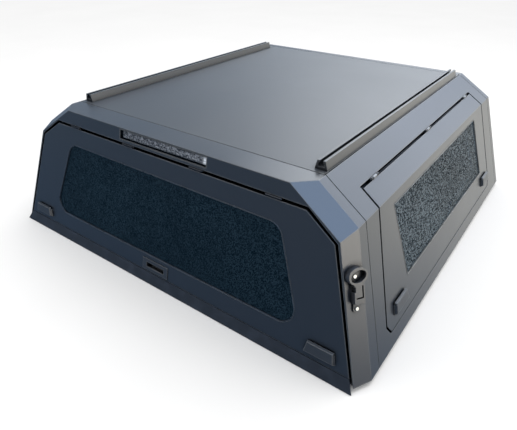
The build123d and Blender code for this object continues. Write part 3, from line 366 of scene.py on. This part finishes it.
# Each pane's dark and light colours are its painted ground speckle.
REAR_GLASS = tinted_glass(
    "rear_tinted_glass",
    tint=(0.025, 0.032, 0.038),
    dark=(0.002, 0.007, 0.013),
    light=(0.013, 0.027, 0.041),
    shine=0.4,
    grit_scale=250.0,
)
SIDE_GLASS = tinted_glass(
    "side_tinted_glass",
    tint=(0.22, 0.24, 0.25),
    dark=(0.004, 0.012, 0.020),
    light=(0.122, 0.158, 0.186),
    shine=0.36,
    grit_scale=205.0,
)
LENS = clear_lens("clear_ribbed_lens")
FOIL = reflector_foil("reflector_foil")
RUBBER = rubber("epdm_rubber", (0.010, 0.012, 0.016), 0.62)
LIP_RUBBER = rubber("lip_rubber", (0.010, 0.015, 0.024), 0.50)
BEAD = rubber("glazing_bead", (0.018, 0.028, 0.043), 0.30)
SIDE_SEAL = rubber("side_glass_seal", (0.085, 0.090, 0.095), 0.38)
# The side bead's light grey stands in for a painted highlight line along the side windows' edges.
SIDE_BEAD_PAINTED_HIGHLIGHT = rubber("side_glazing_bead", (0.16, 0.165, 0.165), 0.30)
FOAM = rubber("gasket_foam", (0.020, 0.020, 0.021), 0.62)
ZINC = metal("zinc_plate", (0.62, 0.63, 0.60), 0.33, (1.0, 1.0, 6.0))
DARK_ZINC = metal("dark_zinc", (0.16, 0.16, 0.17), 0.38)
HINGE_METAL = metal("hinge_satin", (0.30, 0.31, 0.32), 0.42)
BLACK_OXIDE = metal("black_oxide", (0.055, 0.056, 0.060), 0.40)
CHROME = metal("hard_chrome", (0.78, 0.79, 0.80), 0.14, (1.0, 1.0, 0.05))
BAR_METAL = metal("grab_bar_satin", (0.80, 0.82, 0.84), 0.34)
PLATE_METAL = metal("catch_plate_bright", (0.92, 0.90, 0.84), 0.45)

NODE_MATERIALS = {
    "roof_panel": COAT_ROOF,
    "front_window_glass": REAR_GLASS,
    "rear_door_glass": REAR_GLASS,
    "right_door_glass": SIDE_GLASS,
    "left_door_glass": SIDE_GLASS,
    "brake_light_housing": HOUSING,
    "brake_light_lens": LENS,
    "bottle_opener": CAST,
    "base_gasket": FOAM,
    "rear_door_lip_seal": LIP_RUBBER,
    "hinge_frame_leaves": BLACK_OXIDE,
    "rear_door_hinge_leaves": BLACK_OXIDE,
    "right_door_hinge_leaves": HINGE_METAL,
    "left_door_hinge_leaves": HINGE_METAL,
    "hinge_pins": HINGE_METAL,
    "fitting_screws": ZINC,
    "right_glass_seal": SIDE_SEAL,
    "left_glass_seal": SIDE_SEAL,
    "right_grab_bar": BAR_METAL,
    "left_grab_bar": BAR_METAL,
    "right_catch_plate": PLATE_METAL,
    "left_catch_plate": PLATE_METAL,
}
SLOT_MATERIALS = {
    "coated_steel": COAT,
    "coated_fitting": COAT_FITTING,
    "coated_aluminium": COAT_RAIL,
    "seal_rubber": RUBBER,
    "plated_steel": ZINC,
    "black_fastener": BLACK_OXIDE,
    "latch_metal": DARK_ZINC,
    "strut_tube": GLOSS_BLACK,
    "strut_rod": CHROME,
}


def dress_cad_nodes():
    """Gives every CAD node one material, chosen by its name or else by its record slot."""
    slots = {part["node"]: part["material_slot"] for part in frame["record"]["subparts"]}
    for name, node in NODES.items():
        material = NODE_MATERIALS.get(name) or SLOT_MATERIALS[slots[name]]
        node.data.materials.clear()
        node.data.materials.append(material)


# ---- Mesh helpers ------------------------------------------------------------------------
FLAT_BAND = 0.0005
NORMAL_DIGITS, PLACE_DIGITS = 2, 5
FACING_LEAST = 0.5
MITRE_LEAST = 0.5
STRAIGHT_TURN = 1e-9


def new_piece(name, mesh_builder, material, body):
    """A new mesh piece written by mesh_builder into a bmesh, riding on a CAD body."""
    mesh = bpy.data.meshes.new(name)
    shape = bmesh.new()
    mesh_builder(shape)
    bmesh.ops.recalc_face_normals(shape, faces=shape.faces)
    shape.to_mesh(mesh)
    shape.free()
    mesh.materials.append(material)
    piece = bpy.data.objects.new(name, mesh)
    bpy.context.scene.collection.objects.link(piece)
    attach(piece, body)


def bead_loop(shape, points, radius, sides):
    """A round bead of the given radius along a closed loop of points."""
    rings = []
    side = None
    for number, point in enumerate(points):
        along = (points[(number + 1) % len(points)] - points[number - 1]).normalized()
        if side is None:
            side = along.orthogonal()
        side = (side - along * side.dot(along)).normalized()
        other = along.cross(side)
        ring = []
        for step in range(sides):
            angle = 2 * math.pi * step / sides
            offset = side * math.cos(angle) + other * math.sin(angle)
            ring.append(shape.verts.new(point + offset * radius))
        rings.append(ring)
    for first, second in zip(rings, rings[1:] + rings[:1]):
        for step in range(sides):
            ahead = (step + 1) % sides
            face = shape.faces.new((first[step], first[ahead], second[ahead], second[step]))
            face.smooth = True


def panel_axes(node, outward):
    """Outward normal, sideways and upward axes of a flat pane, and its outer face's height."""
    mesh = NODES[node].data
    totals = {}
    normals = {}
    for polygon in mesh.polygons:
        key = tuple(round(c, NORMAL_DIGITS) for c in polygon.normal)
        totals[key] = totals.get(key, 0.0) + polygon.area
        normals.setdefault(key, polygon.normal.copy())
    facing = [key for key in totals if Vector(key).dot(outward) > FACING_LEAST]
    normal = normals[max(facing, key=totals.get)]
    sideways = Vector((0, 0, 1)).cross(normal).normalized()
    upward = normal.cross(sideways)
    face = max(vertex.co.dot(normal) for vertex in mesh.vertices)
    return normal, sideways, upward, face


def pane_outline(node, outward, inset):
    """Points around a pane's outer face, moved inward by inset, and the face's normal."""
    normal, sideways, upward, face = panel_axes(node, outward)
    flat = set()
    for vertex in NODES[node].data.vertices:
        if vertex.co.dot(normal) > face - FLAT_BAND:
            spot = (vertex.co.dot(sideways), vertex.co.dot(upward))
            flat.add(tuple(round(c, PLACE_DIGITS) for c in spot))
    moved = shrink(convex_hull(sorted(flat)), inset)
    return [sideways * x + upward * y + normal * face for x, y in moved], normal


def corner_turn(a, b, c):
    """Positive where the path from a by b to c turns left."""
    return (b[0] - a[0]) * (c[1] - a[1]) - (b[1] - a[1]) * (c[0] - a[0])


def half_hull(points):
    chain = []
    for point in points:
        while len(chain) > 1 and corner_turn(chain[-2], chain[-1], point) <= STRAIGHT_TURN:
            chain.pop()
        chain.append(point)
    return chain[:-1]


def convex_hull(points):
    """Corners of the convex outline around points that are sorted from left to right."""
    return half_hull(points) + half_hull(reversed(points))


def shrink(outline, inset):
    """Moves every side of a convex outline inward by inset."""
    moved = []
    for number, corner in enumerate(outline):
        before = Vector(outline[number - 1])
        here = Vector(corner)
        after = Vector(outline[(number + 1) % len(outline)])
        first = (here - before).normalized()
        second = (after - here).normalized()
        first_inward = Vector((-first.y, first.x))
        second_inward = Vector((-second.y, second.x))
        inward = (first_inward + second_inward).normalized()
        stretch = max(MITRE_LEAST, inward.dot(first_inward))
        moved.append(tuple(here + inward * (inset / stretch)))
    return moved


# ---- Detail pieces -----------------------------------------------------------------------
GLASS_LAP = 0.013
BEAD_RADIUS = 0.0016
BEAD_INSET = 0.0012
BEAD_LIFT = 0.0018
BEAD_SIDES = 10
WINDOWS = (
    ("rear_door_glass", "rear_window_bead", "rear_door", Vector((0, -1, 0))),
    ("right_door_glass", "right_window_bead", "right_door", Vector((1, 0, 0))),
    ("left_door_glass", "left_window_bead", "left_door", Vector((-1, 0, 0))),
    ("front_window_glass", "front_window_bead", "shell", Vector((0, 1, 0))),
)


def window_beads():
    """Round rubber bead that closes the step between each pane and its opening."""
    for node, name, body, outward in WINDOWS:
        points, normal = pane_outline(node, outward, GLASS_LAP + BEAD_INSET)
        lifted = [point + normal * (BEAD_RADIUS + BEAD_LIFT) for point in points]

        def build(shape, path=lifted):
            bead_loop(shape, path, BEAD_RADIUS, BEAD_SIDES)
        new_piece(name, build, SIDE_BEAD_PAINTED_HIGHLIGHT if outward.x else BEAD, body)


CELL_COLUMNS, CELL_ROWS = 44, 3
CELL_HEIGHT = 0.0082
CELL_TIP = 0.0024
CELL_FIELD_MARGIN = 0.004
CELL_FIELD_DEPTH = 0.0085


def brake_light_reflector():
    """Bright faceted reflector cells behind the third brake light's lens."""
    low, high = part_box("brake_light_lens")
    middle = (low + high) / 2
    normal, sideways, upward, face = panel_axes("brake_light_lens", Vector((0, -1, 0)))
    base = middle + normal * (face - CELL_FIELD_DEPTH - middle.dot(normal))
    cell_width = (high.x - low.x - CELL_FIELD_MARGIN) / CELL_COLUMNS
    half_across = sideways * (cell_width / 2)
    half_up = upward * (CELL_HEIGHT / 2)

    def build(shape):
        for column in range(CELL_COLUMNS):
            for row in range(CELL_ROWS):
                x = (column - (CELL_COLUMNS - 1) / 2) * cell_width
                y = (row - (CELL_ROWS - 1) / 2) * CELL_HEIGHT
                spot = base + sideways * x + upward * y
                corners = [
                    shape.verts.new(spot + half_across * across + half_up * up)
                    for across, up in ((-1, -1), (1, -1), (1, 1), (-1, 1))
                ]
                tip = shape.verts.new(spot + normal * CELL_TIP)
                for number in range(4):
                    shape.faces.new((corners[number], corners[(number + 1) % 4], tip))
                shape.faces.new(corners[::-1])
    new_piece("brake_light_reflector", build, FOIL, "shell")


# ---- Studio ------------------------------------------------------------------------------
FLOOR_REACH = 60.0
FLOOR_GAP = 0.0005
FLOOR_NOISE = (1.5, 3.0)
FLOOR_DARK, FLOOR_LIGHT = (0.95, 0.95, 0.95), (0.97, 0.97, 0.97)


def studio_floor():
    material, tree = new_material("pale_floor")
    cloud = tree.ramp(tree.noise(tree.place(), *FLOOR_NOISE), *MIDDLE_BAND)
    tone = tree.mix(cloud, rgb(FLOOR_DARK), rgb(FLOOR_LIGHT))
    tree.surface(tree.add("BsdfDiffuse", Color=tone).outputs[0])
    mesh = bpy.data.meshes.new("studio_floor")
    level = CAD_LOW.z - FLOOR_GAP
    signs = ((-1, -1), (1, -1), (1, 1), (-1, 1))
    corners = [(FLOOR_REACH * x, FLOOR_REACH * y, level) for x, y in signs]
    mesh.from_pydata(corners, [], [(0, 1, 2, 3)])
    mesh.materials.append(material)
    floor = bpy.data.objects.new("studio_floor", mesh)
    bpy.context.scene.collection.objects.link(floor)
    floor.visible_glossy = False


SKY_PATCHES = (
    # direction, colour, strength, half width in degrees
    ((-0.22, 0.78, 0.585), (0.97, 1.00, 1.03), 3.85, 24),
    ((-0.80, 0.55, 0.25), (0.90, 1.00, 1.10), 0.25, 34),
    ((0.28, 0.80, 0.53), (0.92, 0.99, 1.12), 2.3, 24),
    ((0.52, 0.82, -0.01), (1.10, 1.02, 0.84), 1.18, 31),
    ((0.97, 0.12, 0.20), (1.08, 1.00, 0.86), 4.3, 27),
    ((0.70, 0.62, -0.36), (1.08, 1.02, 0.88), 0.20, 19),
    ((0.41, -0.04, 0.91), (0.74, 1.00, 1.45), 2.3, 40),
    ((-0.46, -0.575, 0.65), (1.06, 1.00, 0.92), 2.6, 24),
)
SKY_PATCH_CORE = 0.25
SKY_HAZE = (0.15, 0.22, 0.32)
GROUND_SHADE = (0.06, 0.12, 0.22)
HORIZON_BAND = (-0.36, 0.00)
AMBIENT = 0.95


def reflected_sky(tree, direction):
    """What the coat and the glass mirror: haze, dark ground and a few broad bright patches."""
    height = tree.add("SeparateXYZ", Vector=direction).outputs["Z"]
    total = tree.mix(tree.ramp(height, *HORIZON_BAND), rgb(GROUND_SHADE), rgb(SKY_HAZE))
    for toward, colour, strength, spread in SKY_PATCHES:
        aim = tuple(Vector(toward).normalized())
        nearness = tree.add("VectorMath", {"operation": "DOT_PRODUCT"}, i0=direction, i1=aim)
        share = tree.add(
            "MapRange",
            {"interpolation_type": "SMOOTHSTEP"},
            Value=nearness.outputs["Value"],
            From_Min=math.cos(math.radians(spread)),
            From_Max=math.cos(math.radians(spread * SKY_PATCH_CORE)),
        )
        glow = tree.mix(share.outputs["Result"], BLACK, rgb(colour, strength))
        total = tree.add("VectorMath", {"operation": "ADD"}, i0=glow, i1=total).outputs["Vector"]
    return total


def studio_sky():
    """Plain white to the camera, even white light on everything, and a patterned reflection."""
    world = bpy.data.worlds.new("studio_sky")
    world.use_nodes = True
    world.cycles.sampling_method = "NONE"
    bpy.context.scene.world = world
    tree = Tree(world.node_tree)
    direction = tree.add("TexCoord").outputs["Generated"]
    pattern = reflected_sky(tree, direction)
    mirrored = tree.add("Background", Color=pattern, Strength=1.0).outputs[0]
    even = tree.add("Background", Color=WHITE, Strength=AMBIENT).outputs[0]
    plain = tree.add("Background", Color=WHITE, Strength=1.0).outputs[0]
    ray = tree.add("LightPath").outputs
    lit = tree.mix_shader(ray["Is Glossy Ray"], even, mirrored)
    tree.add("OutputWorld", Surface=tree.mix_shader(ray["Is Camera Ray"], lit, plain))


SOFT_LIGHTS = (
    # name, place, width, power in watts
    ("key_light", (1.2, 1.0, 3.4), 2.4, 40),
    ("fill_light", (-2.4, -2.6, 2.6), 2.6, 20),
)
LIGHT_TARGET = (0, 0, 0.2)


def soft_lights():
    """Round white lamps aimed at the canopy's middle, hidden from its reflections."""
    for name, spot, width, power in SOFT_LIGHTS:
        lamp = bpy.data.lights.new(name, "AREA")
        lamp.shape = "DISK"
        lamp.size = width
        lamp.energy = power
        holder = bpy.data.objects.new(name, lamp)
        holder.location = spot
        holder.rotation_mode = "QUATERNION"
        holder.rotation_quaternion = (Vector(LIGHT_TARGET) - Vector(spot)).to_track_quat("-Z", "Y")
        holder.visible_glossy = False
        bpy.context.scene.collection.objects.link(holder)


CAMERA_PLACE = (1.0434, -1.5712, 1.0555)
CAMERA_AZIMUTH = 36.0176
CAMERA_ELEVATION = 31.7012
CAMERA_LENS_MM = 32.18
CAMERA_SENSOR_MM = 36.0
CAMERA_NEAREST = 0.02


def studio_camera():
    """The camera stands off the rear right corner, about two metres from the middle."""
    lens = bpy.data.cameras.new("camera")
    lens.lens = CAMERA_LENS_MM
    lens.sensor_width = CAMERA_SENSOR_MM
    lens.clip_start = CAMERA_NEAREST
    camera = bpy.data.objects.new("camera", lens)
    tilt = math.radians(90 - CAMERA_ELEVATION)
    facing = Euler((tilt, 0, math.radians(CAMERA_AZIMUTH))).to_matrix().to_4x4()
    camera.matrix_world = Matrix.Translation(CAMERA_PLACE) @ facing
    bpy.context.scene.collection.objects.link(camera)
    bpy.context.scene.camera = camera


def studio():
    studio_floor()
    studio_sky()
    soft_lights()
    studio_camera()
    bpy.context.scene.view_settings.view_transform = "Standard"


dress_cad_nodes()
window_beads()
brake_light_reflector()
studio()
